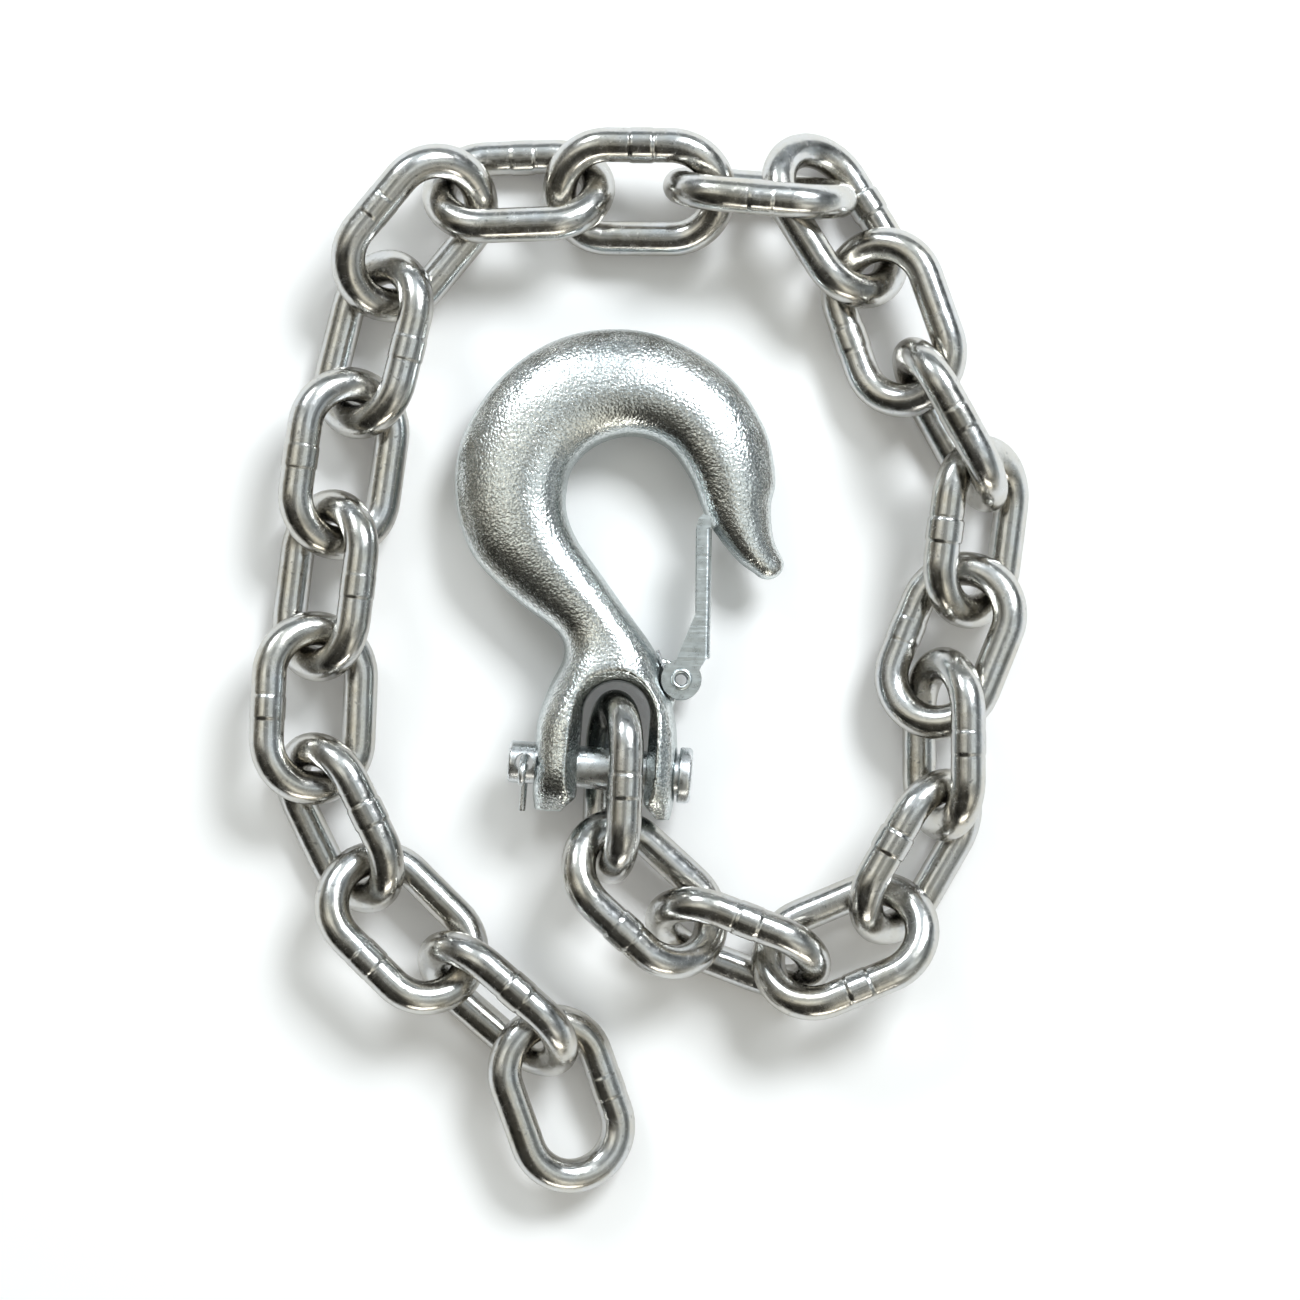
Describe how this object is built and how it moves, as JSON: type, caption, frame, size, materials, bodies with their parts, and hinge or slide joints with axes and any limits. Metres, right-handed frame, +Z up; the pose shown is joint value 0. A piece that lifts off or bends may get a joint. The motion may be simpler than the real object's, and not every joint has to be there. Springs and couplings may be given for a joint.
{
  "type": "safety chain hook",
  "caption": "Forged clevis slip hook with a sprung sheet latch, clevis pin and cotter, on a length of welded trailer safety chain laid in a loose loop.",
  "frame": {"origin": "middle of the laid chain's footprint, on the surface it lies on", "axes": "+Z up from the surface, +Y along the longest side, from the chain's free end link towards the far side of its loop; the hook lies inside the loop with its crown towards +Y"},
  "size_m": [0.1592, 0.2178, 0.0266],
  "materials": {
    "forged_zinc": "forged steel, grainy satin zinc plating",
    "pin_zinc": "smooth bright zinc plating",
    "latch_zinc": "stamped steel sheet, bright zinc plating",
    "spring_wire": "drawn spring wire",
    "chain_zinc": "welded round bar, bright clear zinc plating"
  },
  "bodies": {
    "hook": {"hook_body": "forged_zinc", "latch_pivot": "latch_zinc"},
    "pin": {"clevis_pin": "pin_zinc", "cotter_pin": "pin_zinc"},
    "latch_gate": {"latch": "latch_zinc", "latch_spring": "spring_wire"},
    "link_01": {"chain_link_01": "chain_zinc"},
    "link_02": {"chain_link_02": "chain_zinc"},
    "link_03": {"chain_link_03": "chain_zinc"},
    "link_04": {"chain_link_04": "chain_zinc"},
    "link_05": {"chain_link_05": "chain_zinc"},
    "link_06": {"chain_link_06": "chain_zinc"},
    "link_07": {"chain_link_07": "chain_zinc"},
    "link_08": {"chain_link_08": "chain_zinc"},
    "link_09": {"chain_link_09": "chain_zinc"},
    "link_10": {"chain_link_10": "chain_zinc"},
    "link_11": {"chain_link_11": "chain_zinc"},
    "link_12": {"chain_link_12": "chain_zinc"},
    "link_13": {"chain_link_13": "chain_zinc"},
    "link_14": {"chain_link_14": "chain_zinc"},
    "link_15": {"chain_link_15": "chain_zinc"},
    "link_16": {"chain_link_16": "chain_zinc"},
    "link_17": {"chain_link_17": "chain_zinc"},
    "link_18": {"chain_link_18": "chain_zinc"},
    "link_19": {"chain_link_19": "chain_zinc"},
    "link_20": {"chain_link_20": "chain_zinc"},
    "link_21": {"chain_link_21": "chain_zinc"},
    "link_22": {"chain_link_22": "chain_zinc"},
    "link_23": {"chain_link_23": "chain_zinc"}
  },
  "joints": [
    {"name": "latch_hinge", "type": "hinge", "parent": "hook", "child": "latch_gate", "pos_m": [0.00779, -0.00365, 0.01092], "axis": [0.0033, 0.04, 0.9992], "range_deg": [0, 36], "stiffness_Nm_per_rad": 0.03, "springref_deg": -20.05, "deforming": ["latch_spring"]},
    {"name": "pin_spin", "type": "hinge", "parent": "hook", "child": "pin", "pos_m": [-0.00765, -0.02183, 0.0117], "axis": [0.9966, -0.0819, 0], "continuous": true},
    {"name": "link_01_swing", "type": "hinge", "parent": "hook", "child": "link_01", "pos_m": [-0.00765, -0.02183, 0.0117], "axis": [0.9966, -0.0819, 0], "range_deg": [-55, 55]},
    {"name": "link_02_swing", "type": "hinge", "parent": "link_01", "child": "link_02", "pos_m": [-0.00591, -0.04134, 0.01606], "axis": [0.2648, 0.3, 0.9165], "range_deg": [-5, 15]},
    {"name": "link_03_swing", "type": "hinge", "parent": "link_02", "child": "link_03", "pos_m": [0.01317, -0.05723, 0.01096], "axis": [-0.3947, -0.7382, 0.5471], "range_deg": [-55, 30]},
    {"name": "link_04_swing", "type": "hinge", "parent": "link_03", "child": "link_04", "pos_m": [0.02916, -0.06604, 0.00511], "axis": [0.8838, 0.0219, 0.4673], "range_deg": [-2, 25]},
    {"name": "link_05_swing", "type": "hinge", "parent": "link_04", "child": "link_05", "pos_m": [0.0539, -0.04821, 0.01039], "axis": [-0.7013, 0.532, -0.4745], "range_deg": [-55, 20]},
    {"name": "link_06_swing", "type": "hinge", "parent": "link_05", "child": "link_06", "pos_m": [0.05979, -0.0254, 0.01535], "axis": [-0.7535, -0.2437, 0.6106], "range_deg": [-35, 10]},
    {"name": "link_07_swing", "type": "hinge", "parent": "link_06", "child": "link_07", "pos_m": [0.05733, -0.00861, 0.00361], "axis": [-0.0636, -0.9877, -0.1429], "range_deg": [-10, 0]},
    {"name": "link_08_swing", "type": "hinge", "parent": "link_07", "child": "link_08", "pos_m": [0.07258, 0.01617, 0.01167], "axis": [-0.6103, 0.7245, -0.3204], "range_deg": [-5, 55]},
    {"name": "link_09_swing", "type": "hinge", "parent": "link_08", "child": "link_09", "pos_m": [0.06399, 0.03933, 0.0163], "axis": [-0.5269, -0.764, 0.3724], "range_deg": [-55, 2]},
    {"name": "link_10_swing", "type": "hinge", "parent": "link_09", "child": "link_10", "pos_m": [0.05578, 0.0587, 0.00543], "axis": [-0.3385, 0.7374, 0.5846], "range_deg": [0, 55]},
    {"name": "link_11_swing", "type": "hinge", "parent": "link_10", "child": "link_11", "pos_m": [0.04017, 0.07712, 0.00642], "axis": [0.0961, 0.9848, 0.145], "range_deg": [0, 55]},
    {"name": "link_12_swing", "type": "hinge", "parent": "link_11", "child": "link_12", "pos_m": [0.02938, 0.09197, 0.01537], "axis": [0.5299, -0.848, 0], "range_deg": [-55, 2]},
    {"name": "link_13_swing", "type": "hinge", "parent": "link_12", "child": "link_13", "pos_m": [0.00766, 0.09745, 0.01162], "axis": [0.1781, 0.241, -0.954], "range_deg": [-5, 55]},
    {"name": "link_14_swing", "type": "hinge", "parent": "link_13", "child": "link_14", "pos_m": [-0.01522, 0.10165, 0.01249], "axis": [0.5877, 0.717, 0.3749], "range_deg": [-55, 2]},
    {"name": "link_15_swing", "type": "hinge", "parent": "link_14", "child": "link_15", "pos_m": [-0.04146, 0.0985, 0.00743], "axis": [-0.2923, -0.7702, 0.5669], "range_deg": [-55, 0]},
    {"name": "link_16_swing", "type": "hinge", "parent": "link_15", "child": "link_16", "pos_m": [-0.05711, 0.07499, 0.01108], "axis": [-0.6746, 0.5433, 0.4997], "range_deg": [-55, 2]},
    {"name": "link_17_swing", "type": "hinge", "parent": "link_16", "child": "link_17", "pos_m": [-0.05681, 0.04915, 0.01164], "axis": [0.7919, 0.121, 0.5985], "range_deg": [-5, 55]},
    {"name": "link_18_swing", "type": "hinge", "parent": "link_17", "child": "link_18", "pos_m": [-0.06706, 0.02602, 0.0124], "axis": [-0.6931, 0.5559, 0.4589], "range_deg": [-55, 10]},
    {"name": "link_19_swing", "type": "hinge", "parent": "link_18", "child": "link_19", "pos_m": [-0.07026, 0.00089, 0.00712], "axis": [-0.6019, 0.5313, -0.5962], "range_deg": [-2, 55]},
    {"name": "link_20_swing", "type": "hinge", "parent": "link_19", "child": "link_20", "pos_m": [-0.07176, -0.02445, 0.0139], "axis": [0.7838, -0.5015, -0.3663], "range_deg": [-10, 50]},
    {"name": "link_21_swing", "type": "hinge", "parent": "link_20", "child": "link_21", "pos_m": [-0.05254, -0.04537, 0.0138], "axis": [0.3573, 0.6794, 0.6409], "range_deg": [-5, 55]},
    {"name": "link_22_swing", "type": "hinge", "parent": "link_21", "child": "link_22", "pos_m": [-0.03759, -0.06581, 0.01113], "axis": [-0.6461, -0.6557, 0.3907], "range_deg": [-55, 50]},
    {"name": "link_23_swing", "type": "hinge", "parent": "link_22", "child": "link_23", "pos_m": [-0.01732, -0.08061, 0.01167], "axis": [0.3669, 0.422, 0.829], "range_deg": [-5, 55]}
  ]
}
